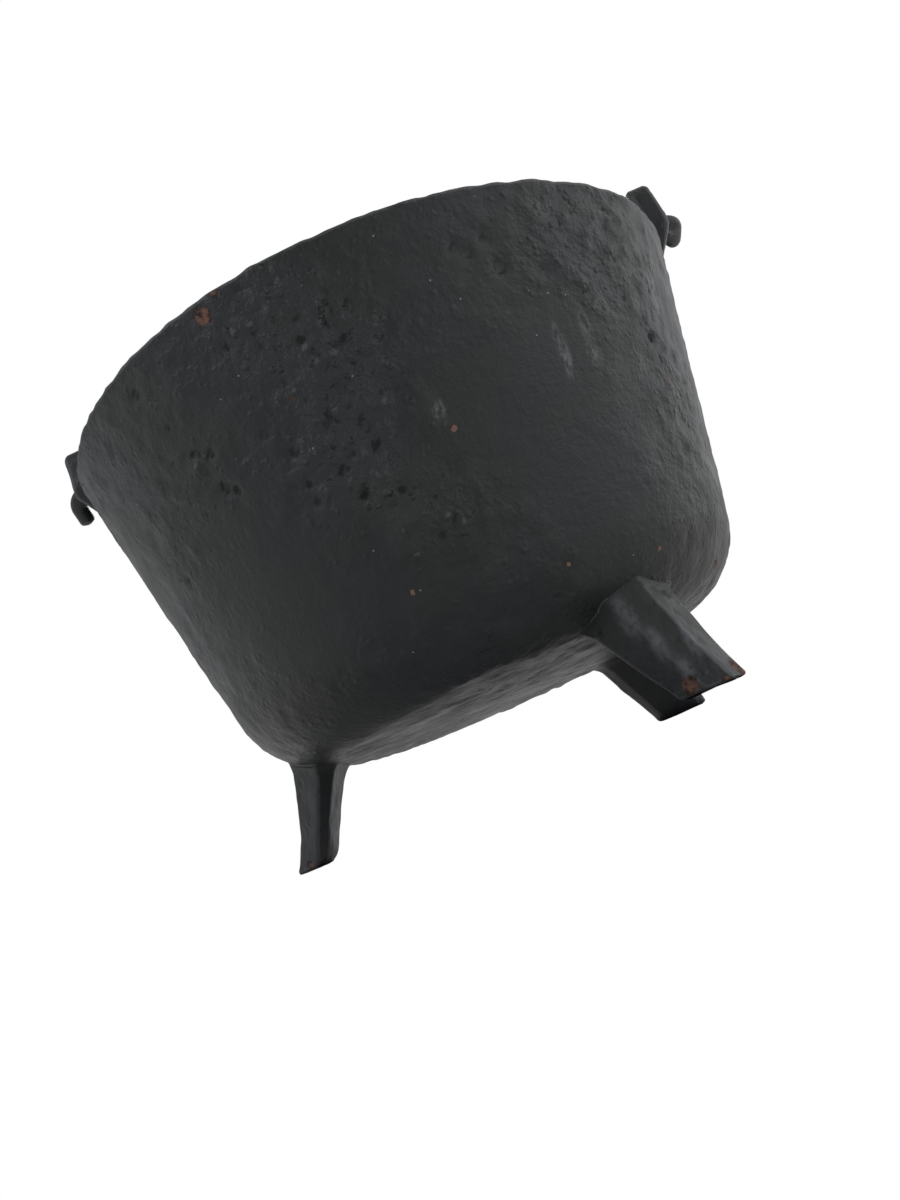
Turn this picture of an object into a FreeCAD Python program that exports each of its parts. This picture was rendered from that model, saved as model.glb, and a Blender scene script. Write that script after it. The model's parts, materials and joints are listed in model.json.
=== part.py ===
"""Three-legged cast-iron hearth pot with two ears and a swinging bail.

Frame: origin at the centre of the plane that the three soles stand on, +Z up, +X from the axis
through the right-hand ear. Millimetres.
"""
import FreeCAD, Part
import math
import os

from FreeCAD import Vector

# Bowl
RIM_RADIUS = 75.0           # outside of the wall at the rim
RIM_HEIGHT = 99.5           # rim above the floor
UNDERSIDE_HEIGHT = 19.0     # flat underside above the floor
BASE_RADIUS = 56.9          # where the wall's outer line meets the underside plane
CORNER_RADIUS = 20.0        # outside radius of the bottom corner
WALL = 4.0
RIM_ROUND = 1.1             # rounding of the rim's two edges

# Legs: height above the floor, outer radius, inner radius, half width
LEG_SECTIONS = (
    (0.0, 61.1, 53.1, 7.3),
    (5.0, 58.9, 50.8, 7.9),
    (11.0, 56.7, 47.8, 8.7),
    (16.0, 55.3, 45.3, 9.5),
    (20.0, 54.5, 43.0, 10.2),
    (26.0, 53.5, 39.0, 11.2),
    (32.0, 52.9, 34.5, 12.2),
)
# Azimuth of each leg at its sole and at the underside, and the way that its outer face looks
LEG_PLACES = {
    "leg_left": (181.9, 181.9, 181.9),
    "leg_front": (-51.3, -54.6, -81.0),
    "leg_rear": (48.6, 50.6, 81.0),
}
# One side of a leg's section, from the flat outer face to the flat inner face: share of the depth,
# share of the half width, rounding
LEG_SIDE = (
    (0.0, 0.36, 1.8),
    (0.66, 1.0, 2.2),
    (1.0, 0.70, 1.1),
)
SOLE_ROUND = 0.9

# Ears
EAR_INNER = 73.4            # inner face, just inside the wall's outer edge
EAR_OUTER = 78.8            # outer face
EAR_RISE = 18.6             # top above the rim
EAR_DROP = 1.5              # foot below the rim
EAR_FOOT_HALF = 6.0         # half width at the foot
EAR_WAIST_HALF = 9.5        # greatest half width
EAR_WAIST = 6.0             # height of the greatest width above the rim
EAR_TOP_HALF = 7.2          # half width at the top
EAR_TOP_ROUND = 5.0
EAR_WAIST_ROUND = 6.0
EAR_FOOT_ROUND = 3.0
EAR_CORBEL = 5.0            # height above the rim at which the outer face begins to slope in
EAR_EDGE_ROUND = 1.0
EYE_HEIGHT = 9.0            # centre of the eye above the rim
EYE_RADIUS = 3.0

# Bail
ROD_RADIUS = 2.1
ROD_PLAY = 1.5              # air between the turned-up end and the outer face of the ear
HOOK_BEND = 3.6             # centreline radius of the two bends at each ear
# Length of each turned-up end from the eye's axis, and degrees that it leans out of the arch's plane
RIGHT_HOOK = (9.5, 0.0)
LEFT_HOOK = (7.5, 42.0)
TIP_ROUND = 1.2
BAIL_REACH = 73.0           # crown's centreline from the hinge axis, so it lies on the rim
REST_GAP = 0.3              # air between the resting crown and the rim

CUT_MARGIN = 1.0            # how far a cutting shape stands clear of what it cuts
TOUCH = 1e-6                # two heights closer than this are the same
SAME_PLACE = 0.01           # two points closer than this are the same

PIVOT_HEIGHT = RIM_HEIGHT + EYE_HEIGHT
TAPER = (RIM_RADIUS - BASE_RADIUS) / (RIM_HEIGHT - UNDERSIDE_HEIGHT)
ARCH_RADIUS = BAIL_REACH - HOOK_BEND
TIP_X = EAR_OUTER + ROD_PLAY + ROD_RADIUS

ORIGIN = Vector(0, 0, 0)
X_AXIS = Vector(1, 0, 0)
Z_AXIS = Vector(0, 0, 1)


def line(start, end):
    return Part.makeLine(start, end)


def arc(start, middle, end):
    return Part.Arc(start, middle, end).toShape()


def rounded_polygon(points, rounds):
    """Closed wire through points, each corner replaced by an arc of its own radius."""
    starts, middles, ends = [], [], []
    for index, corner in enumerate(points):
        to_last = (points[index - 1] - corner).normalize()
        to_next = (points[(index + 1) % len(points)] - corner).normalize()
        half_angle = to_last.getAngle(to_next) / 2
        setback = rounds[index] / math.tan(half_angle)
        centre_distance = rounds[index] / math.sin(half_angle)
        inward = (to_last + to_next).normalize()
        starts.append(corner + to_last * setback)
        middles.append(corner + inward * (centre_distance - rounds[index]))
        ends.append(corner + to_next * setback)
    edges = []
    for index in range(len(points)):
        edges.append(arc(starts[index], middles[index], ends[index]))
        edges.append(line(ends[index], starts[(index + 1) % len(points)]))
    return Part.Wire(edges)


def wall_profile(offset, top):
    """Half outline of the bowl's outer form, moved inward by offset, as a closed wire."""
    slant = math.hypot(1, TAPER)
    bottom = UNDERSIDE_HEIGHT + offset
    radius = CORNER_RADIUS - offset
    centre_z = bottom + radius
    centre_r = BASE_RADIUS + TAPER * (centre_z - UNDERSIDE_HEIGHT) - CORNER_RADIUS * slant
    wall_angle = math.atan(TAPER)
    middle_angle = (wall_angle + math.pi / 2) / 2

    def on_corner(angle):
        return Vector(centre_r + radius * math.cos(angle), 0, centre_z - radius * math.sin(angle))

    corner_top = on_corner(wall_angle)
    rim = Vector(corner_top.x + TAPER * (top - corner_top.z), 0, top)
    corner_bottom = on_corner(math.pi / 2)
    return Part.Wire([
        line(Vector(0, 0, bottom), corner_bottom),
        arc(corner_bottom, on_corner(middle_angle), corner_top),
        line(corner_top, rim),
        line(rim, Vector(0, 0, top)),
        line(Vector(0, 0, top), Vector(0, 0, bottom)),
    ])


def turned(wire):
    return Part.Face(wire).revolve(ORIGIN, Z_AXIS, 360)


def outer_form():
    """The bowl with its inside filled up."""
    return turned(wall_profile(0.0, RIM_HEIGHT))


def bowl():
    shell = outer_form().cut(turned(wall_profile(WALL, RIM_HEIGHT + WALL)))
    rim_edges = [edge for edge in shell.Edges
                 if abs(edge.BoundBox.ZMin - RIM_HEIGHT) < TOUCH and edge.Length > RIM_RADIUS]
    return shell.makeFillet(RIM_ROUND, rim_edges)


def leg_section(depth, half_width):
    """Six-sided section about the origin, with its narrow outer face towards +X."""
    far_side = [(share, -width, radius) for share, width, radius in reversed(LEG_SIDE)]
    corners = list(LEG_SIDE) + far_side
    points = [Vector((0.5 - share) * depth, width * half_width, 0) for share, width, _ in corners]
    return rounded_polygon(points, [radius for _, _, radius in corners])


def leg(sole_azimuth, root_azimuth, facing, filled_bowl):
    sections = []
    for height, outer, inner, half_width in LEG_SECTIONS:
        share = height / UNDERSIDE_HEIGHT
        azimuth = math.radians(sole_azimuth + (root_azimuth - sole_azimuth) * share)
        middle = (outer + inner) / 2
        section = leg_section(outer - inner, half_width)
        section.rotate(ORIGIN, Z_AXIS, facing)
        section.translate(Vector(middle * math.cos(azimuth), middle * math.sin(azimuth), height))
        sections.append(section)
    blank = Part.makeLoft(sections, True, False)
    sole_edges = [edge for edge in blank.Edges if edge.BoundBox.ZMax < TOUCH]
    blank = blank.makeFillet(SOLE_ROUND, sole_edges)
    return blank.cut(filled_bowl)


def ear(side, filled_bowl):
    """Upright lug on the outside of the rim, with a radial eye for the bail."""
    top = RIM_HEIGHT + EAR_RISE
    foot = RIM_HEIGHT - EAR_DROP
    outline = rounded_polygon(
        [
            Vector(EAR_INNER, -EAR_FOOT_HALF, foot),
            Vector(EAR_INNER, EAR_FOOT_HALF, foot),
            Vector(EAR_INNER, EAR_WAIST_HALF, RIM_HEIGHT + EAR_WAIST),
            Vector(EAR_INNER, EAR_TOP_HALF, top),
            Vector(EAR_INNER, -EAR_TOP_HALF, top),
            Vector(EAR_INNER, -EAR_WAIST_HALF, RIM_HEIGHT + EAR_WAIST),
        ],
        [EAR_FOOT_ROUND, EAR_FOOT_ROUND, EAR_WAIST_ROUND,
         EAR_TOP_ROUND, EAR_TOP_ROUND, EAR_WAIST_ROUND],
    )
    plate = Part.Face(outline).extrude(X_AXIS * (EAR_OUTER - EAR_INNER))
    outer_edges = [edge for edge in plate.Edges
                   if edge.BoundBox.XMin > EAR_OUTER - TOUCH]
    plate = plate.makeFillet(EAR_EDGE_ROUND, outer_edges)
    slope = Part.Face(Part.makePolygon([
        Vector(EAR_OUTER + CUT_MARGIN, -RIM_RADIUS, foot - CUT_MARGIN),
        Vector(EAR_OUTER + CUT_MARGIN, -RIM_RADIUS, RIM_HEIGHT + EAR_CORBEL),
        Vector(EAR_OUTER, -RIM_RADIUS, RIM_HEIGHT + EAR_CORBEL),
        Vector(EAR_INNER, -RIM_RADIUS, foot - CUT_MARGIN),
        Vector(EAR_OUTER + CUT_MARGIN, -RIM_RADIUS, foot - CUT_MARGIN),
    ])).extrude(Vector(0, 2 * RIM_RADIUS, 0))
    eye = Part.makeCylinder(
        EYE_RADIUS, 2 * WALL + EAR_OUTER - EAR_INNER,
        Vector(EAR_INNER - WALL, 0, PIVOT_HEIGHT), X_AXIS)
    lug = plate.cut(slope).cut(filled_bowl).cut(eye)
    if side < 0:
        lug.rotate(ORIGIN, Z_AXIS, 180)
    return lug


def quarter_bend(x, direction):
    """From the hinge axis up to the vertical line at x, leaving the axis along direction."""
    centre_x = x - direction * HOOK_BEND
    half = HOOK_BEND * math.sqrt(0.5)
    low = Vector(centre_x, 0, 0)
    middle = Vector(centre_x + direction * half, 0, HOOK_BEND - half)
    return low, middle, Vector(x, 0, HOOK_BEND)


def hook(length, lean):
    """From the tip of the right-hand hook to the foot of the arch, and the tip's place."""
    arch_low, arch_mid, arch_high = quarter_bend(ARCH_RADIUS, -1)
    tip_low, tip_mid, tip_high = quarter_bend(TIP_X, 1)
    tip = Vector(TIP_X, 0, length)
    turned_up = [line(tip, tip_high), arc(tip_high, tip_mid, tip_low)]
    turned_up = [edge.rotated(ORIGIN, X_AXIS, -lean) for edge in turned_up]
    start = turned_up[0].firstVertex().Point
    return turned_up + [line(tip_low, arch_low), arc(arch_low, arch_mid, arch_high)], start


def bail_path():
    """Upright centreline, with the hinge axis along X through the origin, and its two ends.

    The arch is a semicircle in the XZ plane. Each end bends outward through its eye and is turned
    up outside the ear.
    """
    right, right_tip = hook(*RIGHT_HOOK)
    left, left_tip = hook(*LEFT_HOOK)
    left = [edge.mirror(ORIGIN, X_AXIS) for edge in left]
    left_tip = Vector(-left_tip.x, left_tip.y, left_tip.z)
    foot = Vector(ARCH_RADIUS, 0, HOOK_BEND)
    crown = arc(foot, Vector(0, 0, BAIL_REACH), Vector(-foot.x, 0, foot.z))
    path = Part.Wire(Part.__sortEdges__(right + [crown] + left))
    return path, (right_tip, left_tip)


def rest_angle():
    """Degrees below the horizontal at which the crown lies on the rim."""
    drop = EYE_HEIGHT - ROD_RADIUS - REST_GAP
    return math.degrees(math.asin(drop / BAIL_REACH))


def bail():
    path, tips = bail_path()
    section = Part.Wire(Part.makeCircle(ROD_RADIUS, tips[0], Z_AXIS))
    rod = path.makePipeShell([section], True, False)
    tip_edges = [edge for edge in rod.Edges
                 if min((edge.CenterOfMass - tip).Length for tip in tips) < SAME_PLACE]
    rod = rod.makeFillet(TIP_ROUND, tip_edges)
    rod.rotate(ORIGIN, X_AXIS, -(90 + rest_angle()))
    rod.translate(Vector(0, 0, PIVOT_HEIGHT))
    return rod


def main():
    os.makedirs("parts", exist_ok=True)
    filled_bowl = outer_form()
    nodes = {"bowl": bowl(), "bail": bail()}
    for name, place in LEG_PLACES.items():
        nodes[name] = leg(*place, filled_bowl)
    for name, side in {"ear_right": 1, "ear_left": -1}.items():
        nodes[name] = ear(side, filled_bowl)
    for name, shape in nodes.items():
        shape.exportStep(f"parts/{name}.step")
        box = shape.BoundBox
        print(f"{name:10s} solids {len(shape.Solids)} valid {shape.isValid()} "
              f"volume {shape.Volume:9.0f}  x {box.XMin:.1f}..{box.XMax:.1f} "
              f"y {box.YMin:.1f}..{box.YMax:.1f} z {box.ZMin:.1f}..{box.ZMax:.1f}")
    print(f"bail rests {rest_angle():.2f} degrees below the horizontal")


main()
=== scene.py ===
"""Looks of a small black-painted cast-iron hearth pot on three legs, with a swinging rod bail.

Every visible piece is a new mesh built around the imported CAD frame. Lengths are in metres.
"""

import itertools
import json
import math
from types import SimpleNamespace

import bmesh
import bpy
import numpy as np
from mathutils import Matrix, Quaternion, Vector


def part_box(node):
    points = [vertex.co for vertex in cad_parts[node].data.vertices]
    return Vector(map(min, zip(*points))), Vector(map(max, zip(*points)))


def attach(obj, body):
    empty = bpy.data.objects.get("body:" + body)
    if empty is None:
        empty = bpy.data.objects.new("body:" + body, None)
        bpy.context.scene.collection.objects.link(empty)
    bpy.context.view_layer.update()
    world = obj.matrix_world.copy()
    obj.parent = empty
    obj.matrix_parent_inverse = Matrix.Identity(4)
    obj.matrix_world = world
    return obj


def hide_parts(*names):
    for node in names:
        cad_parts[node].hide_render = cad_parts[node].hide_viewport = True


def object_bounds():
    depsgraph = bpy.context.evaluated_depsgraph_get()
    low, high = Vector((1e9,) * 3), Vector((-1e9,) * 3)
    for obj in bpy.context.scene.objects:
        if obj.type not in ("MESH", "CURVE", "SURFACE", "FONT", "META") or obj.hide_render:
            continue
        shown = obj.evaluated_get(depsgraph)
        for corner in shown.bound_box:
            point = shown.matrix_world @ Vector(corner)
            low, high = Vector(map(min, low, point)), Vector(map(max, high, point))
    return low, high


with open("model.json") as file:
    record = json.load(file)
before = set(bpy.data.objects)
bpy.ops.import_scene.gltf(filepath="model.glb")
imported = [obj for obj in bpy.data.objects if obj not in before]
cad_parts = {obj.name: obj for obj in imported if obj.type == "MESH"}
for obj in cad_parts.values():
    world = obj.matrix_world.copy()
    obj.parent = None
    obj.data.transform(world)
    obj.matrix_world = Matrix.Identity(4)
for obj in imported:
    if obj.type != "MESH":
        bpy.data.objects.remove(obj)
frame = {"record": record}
CAD_LOW, CAD_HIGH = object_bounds()

MM = 0.001

# Bowl
BOWL_LOW, BOWL_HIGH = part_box("bowl")
RIM_RADIUS = BOWL_HIGH.x
RIM_HEIGHT = BOWL_HIGH.z
UNDERSIDE = BOWL_LOW.z
BASE_RADIUS = 56.9 * MM         # where the wall's outer line meets the plane of the underside
CORNER_RADIUS = 20.0 * MM
WALL = 4.0 * MM
RIM_ROUND = 1.1 * MM
BOWL_COLUMNS = 560
# Points along each run of the bowl's section
UNDERSIDE_STEPS = 16
CORNER_STEPS = 28
WALL_STEPS = 82
RIM_ROUND_STEPS = 4
RIM_TOP_STEPS = 2
INNER_WALL_STEPS = 22
INNER_CORNER_STEPS = 8
BOWL_MIDDLE = 3.0 * MM          # innermost ring of the underside and of the floor
# Rougher and smoother stretches of the wall: azimuth in degrees, height, spread, amount
ROUGH_PATCHES = (
    (-98.0, 88.0, 13.0, 1.45),
    (-90.0, 78.0, 10.0, 1.10),
    (-97.0, 60.0, 13.0, 1.30),
    (-88.0, 48.0, 9.0, 0.55),
    (-41.0, 84.0, 13.0, 1.00),
    (-55.0, 91.0, 9.0, 0.70),
    (-30.0, 58.0, 10.0, 0.50),
    (-120.0, 75.0, 8.0, 0.55),
    (-68.0, 58.0, 17.0, -0.70),
    (-80.0, 84.0, 6.0, -0.40),
    (-112.0, 48.0, 14.0, -0.30),
    (85.0, 70.0, 22.0, 0.60),
    (150.0, 60.0, 16.0, 0.70),
)
# Groups of dents and blow-holes: azimuth in degrees, height, how far they scatter, how many, and the
# radius and depth of each, in millimetres
DENT_GROUPS = (
    (-65.0, 91.0, 8.0, 4, 1.6, 0.45),
    (-90.0, 85.0, 5.0, 3, 1.5, 0.45),
    (-96.0, 60.0, 6.0, 3, 1.4, 0.45),
    (-104.0, 72.0, 5.0, 2, 1.3, 0.40),
    (-120.0, 73.0, 6.0, 4, 1.3, 0.50),
    (-125.0, 93.0, 1.0, 1, 1.4, 0.50),
    (-34.0, 70.0, 1.0, 1, 1.2, 0.45),
)
DENT_SEED = 14

# Relief of the bowl: strength in millimetres, size of a lump in millimetres, seed, and for scattered
# lumps the share of places that hold one
BOWL_WAVES = ((0.30, 34.0, 1), (0.14, 13.0, 2))
BOWL_LUMPS = ((0.24, 4.6, 3), (0.20, 2.8, 4))
BOWL_PIMPLES = ((0.50, 4.4, 20, 0.45), (0.46, 3.0, 30, 0.50))
BOWL_PITS = ((0.60, 5.2, 40, 0.26), (0.44, 3.4, 50, 0.32))
BOWL_SINK = 0.20                # keeps the skin inside the CAD bowl, in millimetres
RIM_WAVES = ((0.13, 9.0, 5), (0.22, 2.6, 6))
RIM_NICKS = ((0.30, 6.0, 60, 0.35), (0.26, 3.2, 65, 0.45))
RIM_SKIN_LOSS = 0.75            # share of the wall's relief that the rim doesn't have
RIM_BAND = (2.5 * MM, 0.5 * MM)     # below the rim, where the rim's own relief begins and is full
# How coarse the casting is away from the patches, its swings, and its least and most
COARSE_BASE = 0.38
COARSE_SWINGS = ((0.25, 24.0, 11), (0.25, 9.0, 12))
COARSE_LIMITS = (0.05, 1.6)
# The same for the legs, ears and bail
PLAIN_BASE = 0.45
PLAIN_SWINGS = ((0.5, 12.0, 8),)
PLAIN_LIMITS = (0.1, 1.2)
DENT_UNEVEN = ((0.35, 1.8, 9),)
DENT_EDGE = 4                   # the greater, the steeper a dent's edge

TAPER = (RIM_RADIUS - BASE_RADIUS) / (RIM_HEIGHT - UNDERSIDE)
SLANT = math.hypot(1, TAPER)
WALL_ANGLE = math.atan(TAPER)

# Legs: height, outer radius, inner radius and half width, in millimetres
LEG_STATIONS = (
    (0.0, 61.1, 53.1, 7.3),
    (5.0, 58.9, 50.8, 7.9),
    (11.0, 56.7, 47.8, 8.7),
    (16.0, 55.3, 45.3, 9.5),
    (20.0, 54.5, 43.0, 10.2),
    (26.0, 53.5, 39.0, 11.2),
    (32.0, 52.9, 34.5, 12.2),
)
LEG_TOP = 35.0 * MM
# Each leg's sole, the degrees that it drifts round the pot on its way up to the underside, and the
# way that its narrow outer face looks
LEG_PLACES = {
    "leg_left": ("sole_left", 0.0, 181.9),
    "leg_front": ("sole_front", -3.3, -81.0),
    "leg_rear": ("sole_rear", 2.0, 81.0),
}
# One side of the section, from the outer face to the inner face: share of the depth, share of the
# half width, rounding
LEG_SIDE = (
    (0.0, 0.36, 1.1 * MM),
    (0.66, 1.0, 1.3 * MM),
    (1.0, 0.70, 1.1 * MM),
)
LEG_WAVES = ((0.22, 12.0, 71), (0.10, 5.0, 72))
LEG_LUMPS = ((0.22, 4.0, 75, 0.4), (-0.22, 3.6, 85, 0.35))
LEG_SINK = 0.10
LEG_COLUMNS = 132
LEG_RINGS = 110
LEG_SAMPLES = 160
LEG_RING_CROWDING = 0.10        # draws the rings together at both ends of a leg
OUTLINE_BEND_STEPS = 8          # points along each rounded corner of an outline
LEG_ROOT_FLARE = 2.2 * MM       # radius of the fillet where a leg meets the bowl
LEG_ROOT_DEPTH = 1.6 * MM       # how far a leg runs into the bowl's wall
LEG_ROOT_SINK = 0.40 * MM       # how far the fillet's edge lies under the bowl's rough skin
PROBE = 0.1 * MM                # step that shows how squarely a leg's side meets the bowl
SOLE_ROUND_OUTER = 0.9 * MM
SOLE_ROUND_INNER = 2.4 * MM
SOLE_ROUND_CHANGE = (0.6, 1)    # shares of the depth between which the sole's rounding grows

# Ears
EAR_LOW, EAR_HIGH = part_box("ear_right")
EAR_FOOT_HALF = 6.0 * MM
EAR_WAIST_HALF = 9.5 * MM
EAR_WAIST = 6.0 * MM            # height of the greatest width above the rim
EAR_TOP_HALF = 7.2 * MM
EAR_CORBEL = 5.0 * MM           # height above the rim at which the outer face begins to slope in
EAR_FOOT_ROUND = 3.0 * MM
EAR_WAIST_ROUND = 6.0 * MM
EAR_TOP_ROUND = 5.0 * MM
EAR_FOOT_SHARE = 0.12           # thickness left at the foot, as a share of the full thickness
EAR_EDGE_ROUND = 1.2 * MM
EYE_RADIUS = 3.0 * MM
EYE_EDGE_ROUND = 0.5 * MM
EAR_ROOT = 1.0 * MM             # the outline runs this far below the CAD ear
EAR_WAVES = ((0.22, 9.0, 91), (0.12, 4.0, 92))
EAR_LUMPS = ((0.20, 3.4, 93, 0.4), (-0.20, 3.4, 103, 0.3))
EAR_SINK = 0.12
EAR_COLUMNS = 220
EAR_FACE_STEPS = 18
EAR_SIDE_STEPS = 8
EAR_EDGE_STEPS = 6
EYE_EDGE_STEPS = 3

# Bail
BAIL_LOW, BAIL_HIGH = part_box("bail")
BAIL_JOINT = frame["record"]["behaviour"]["joints"][0]
PIVOT = Vector(BAIL_JOINT["pos_m"])
ROD_RADIUS = 2.1 * MM
HOOK_BEND = 3.6 * MM
# Length of each turned-up end from the hinge axis, and degrees that it leans out of the arch's plane
RIGHT_HOOK = (9.5 * MM, 0.0)
LEFT_HOOK = (7.5 * MM, 42.0)
TIP_ROUND = 1.2 * MM
BAIL_REACH = 73.0 * MM
BAIL_WAVES = ((0.10, 8.0, 111), (0.06, 3.0, 112))
BAIL_PITS = ((0.14, 3.0, 113, 0.35),)
BAIL_SINK = 0.04
ROD_STEP = 0.55 * MM
ROD_COLUMNS = 36
HOOK_STEPS = 20                 # points along each short run or bend of a hook
ARCH_STEPS = 160
ARCH_RADIUS = BAIL_REACH - HOOK_BEND
TIP_X = BAIL_HIGH.x - ROD_RADIUS
REST_ANGLE = math.asin((PIVOT.z - BAIL_LOW.z - ROD_RADIUS) / BAIL_REACH)

# Paint
PAINT_COOL = (0.0120, 0.0132, 0.0165, 1)
PAINT_WARM = (0.0128, 0.0152, 0.0130, 1)
PAINT_WORN = (0.0300, 0.0310, 0.0325, 1)
# Grey of paint worn to bare metal, also a painted highlight along the near leg's ridges
BARE_AND_HIGHLIT = (0.1150, 0.1150, 0.1280, 1)
# Painted shade: the near-black that the paint turns in the mesh's hollows
HOLLOW_SHADE = (0.0040, 0.0040, 0.0038, 1)
DUST = (0.1100, 0.1100, 0.1080, 1)
SPECK = (0.2600, 0.2600, 0.2550, 1)
SCUFF = (0.3200, 0.3200, 0.3300, 1)
RUST_DARK = (0.0260, 0.0150, 0.0115, 1)
RUST_LIGHT = (0.1800, 0.0900, 0.0660, 1)
PRIMER = (0.2300, 0.1150, 0.0900, 1)
# Chips down to rust on the wall: azimuth in degrees, height and radius in millimetres
WALL_RUST = (
    (-107.0, 96.0, 1.7),
    (-104.0, 98.5, 0.8),
    (-22.0, 24.0, 0.9),
)
# Chips down to rust at the soles: x, y, z and radius in millimetres
SOLE_RUST = (
    (31.0, -47.0, 2.0, 1.7),
    (42.0, -43.5, 2.0, 2.6),
    (37.5, -48.5, 0.5, 1.0),
    (-57.5, -8.0, 1.0, 1.2),
)
# Chips down to pale primer: azimuth in degrees, height and radius in millimetres
PRIMER_CHIPS = (
    (-80.0, 59.0, 0.6),
    (-97.0, 36.0, 0.55),
    (-70.0, 30.0, 0.5),
    (-49.0, 28.0, 0.5),
)
# Grey rubbed patches: azimuth in degrees, height, half width and half height in millimetres
SCUFFS = (
    (-52.0, 67.0, 2.4, 13.0),
    (-58.0, 66.0, 2.0, 12.0),
    (-63.0, 52.0, 0.9, 12.0),
    (-81.0, 62.0, 2.2, 3.6),
    (-29.0, 79.0, 5.0, 9.0),
)
# Edges rubbed to dull grey, partly painted highlight: x, y, z, half width and half height in
# millimetres
WORN_AND_HIGHLIT = (
    (31.5, -48.0, 5.0, 2.4, 6.0),
    (29.0, -47.0, 11.5, 2.4, 6.5),
    (26.0, -46.0, 18.0, 3.0, 6.5),
    (35.0, -46.0, 11.0, 1.6, 9.0),
)

# Light: how bright the room is, and its brighter and darker sides: direction, cosines between which
# the change comes in, strength
ROOM_BASE = 0.45
ROOM_SIDES = (
    ((1.0, 0.0, 0.0), 0.1, 0.9, 0.68),
    ((-0.95, 0.15, -0.25), 0.5, 1.0, 0.26),
    ((0.0, 1.0, 0.0), 0.1, 0.9, 0.08),
    ((0.0, 0.0, 1.0), 0.1, 0.6, -0.15),
)

ROOM_COLOUR = (0.97, 0.98, 1.0, 1)
# Name, place, size, power and colour
LAMPS = (
    ("window_left", (-0.70, -0.45, 0.85), 0.60, 1.6, (0.93, 0.97, 1.0)),
    ("window_behind", (0.15, 0.95, 0.55), 0.60, 7.0, (1.0, 0.98, 0.96)),
)
FLOOR_RADIUS = 2.5
FLOOR_SIDES = 96
FLOOR_TONES = ((0.80, 0.80, 0.79, 1), (0.84, 0.84, 0.83, 1))
FLOOR_CLOUDS = 0.05             # size of the floor's faint changes of tone

# Camera: it stands low in front of the pot, nearly level with the soles, and leans to one side
CAMERA_DISTANCE = 258.5 * MM    # from the middle of the rim
CAMERA_TURN = 1.9               # degrees round the pot
CAMERA_DROP = 23.94             # degrees below the rim
CAMERA_PAN = 1.23
CAMERA_TILT = -11.96
CAMERA_ROLL = 24.11
CAMERA_LENS = 30.7
CAMERA_SENSOR = 36.0
CAMERA_REACH = (10 * MM, 20.0)  # nearest and furthest that it sees

# Fixed random numbers
HASH_FACTORS = (73856093, 19349663, 83492791)
HASH_ROUNDS = ((13, 1274126177), (16, 668265263), (15, 374761393))
HASH_MASK = 0xFFFFFFFF

# Scattered lumps: least radius and its spread in cells, least height and its spread
BUMP_RADIUS = (0.35, 0.45)
BUMP_HEIGHT = (0.35, 0.65)


# ---------------------------------------------------------------- noise

def hashed(cells, seed):
    """A fixed random number from 0 to 1 for each row of three whole numbers."""
    mixed = np.full(cells.shape[:-1], seed * HASH_FACTORS[0], np.int64)
    for axis, factor in enumerate(HASH_FACTORS):
        mixed = mixed ^ (cells[..., axis] * factor)
    for shift, factor in HASH_ROUNDS:
        mixed = ((mixed ^ (mixed >> shift)) * factor) & HASH_MASK
    return (mixed ^ (mixed >> 16)) / HASH_MASK


def soft_noise(points, size, seed):
    """Smooth noise from -1 to 1 with lumps about as wide as size."""
    scaled = points / size
    cell = np.floor(scaled).astype(np.int64)
    part = scaled - cell
    weight = part ** 3 * (part * (part * 6 - 15) + 10)
    total = np.zeros(len(points))
    for corner in itertools.product((0, 1), repeat=3):
        share = np.prod(np.where(corner, weight, 1 - weight), axis=-1)
        total += share * (2 * hashed(cell + np.array(corner), seed) - 1)
    return total


def bumps(points, size, seed, chance):
    """Scattered round lumps: 0 between them and up to 1 at their tops."""
    scaled = points / size
    cell = np.floor(scaled).astype(np.int64)
    height = np.zeros(len(points))
    for step in itertools.product((-1, 0, 1), repeat=3):
        near = cell + np.array(step)
        centre = near + np.stack([hashed(near, seed + axis) for axis in range(3)], -1)
        radius = BUMP_RADIUS[0] + BUMP_RADIUS[1] * hashed(near, seed + 3)
        present = hashed(near, seed + 4) < chance
        strength = BUMP_HEIGHT[0] + BUMP_HEIGHT[1] * hashed(near, seed + 5)
        distance = np.linalg.norm(scaled - centre, axis=-1) / radius
        top = np.clip(1 - distance ** 2, 0, None) ** 2
        height = np.maximum(height, top * present * strength)
    return height


def noises(points, rows):
    """Sum of smooth noises. Each row is (strength, size in millimetres, seed)."""
    return sum(strength * soft_noise(points, size * MM, seed) for strength, size, seed in rows)


def scattered(points, rows):
    """Sum of scattered lumps. Each row is (strength, size in millimetres, seed, chance)."""
    return sum(strength * bumps(points, size * MM, seed, chance)
               for strength, size, seed, chance in rows)


def smooth_step(low, high, values):
    """Values from low..high taken smoothly to 0..1."""
    share = np.clip((values - low) / (high - low), 0, 1)
    return share * share * (3 - 2 * share)


# ---------------------------------------------------------------- meshes

def band(low, high, columns):
    """Faces between two closed rings of points, whose first points have the numbers low and high."""
    column = np.arange(columns)
    following = (column + 1) % columns
    return np.stack([low + column, low + following, high + following, high + column], -1).tolist()


def smooth_piece(name, points, faces):
    """New smooth object with its faces looking outward."""
    mesh = bpy.data.meshes.new(name)
    mesh.from_pydata(points.tolist(), [], faces)
    work = bmesh.new()
    work.from_mesh(mesh)
    bmesh.ops.recalc_face_normals(work, faces=work.faces)
    work.to_mesh(mesh)
    work.free()
    mesh.shade_smooth()
    piece = bpy.data.objects.new(name, mesh)
    bpy.context.scene.collection.objects.link(piece)
    return piece


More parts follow.
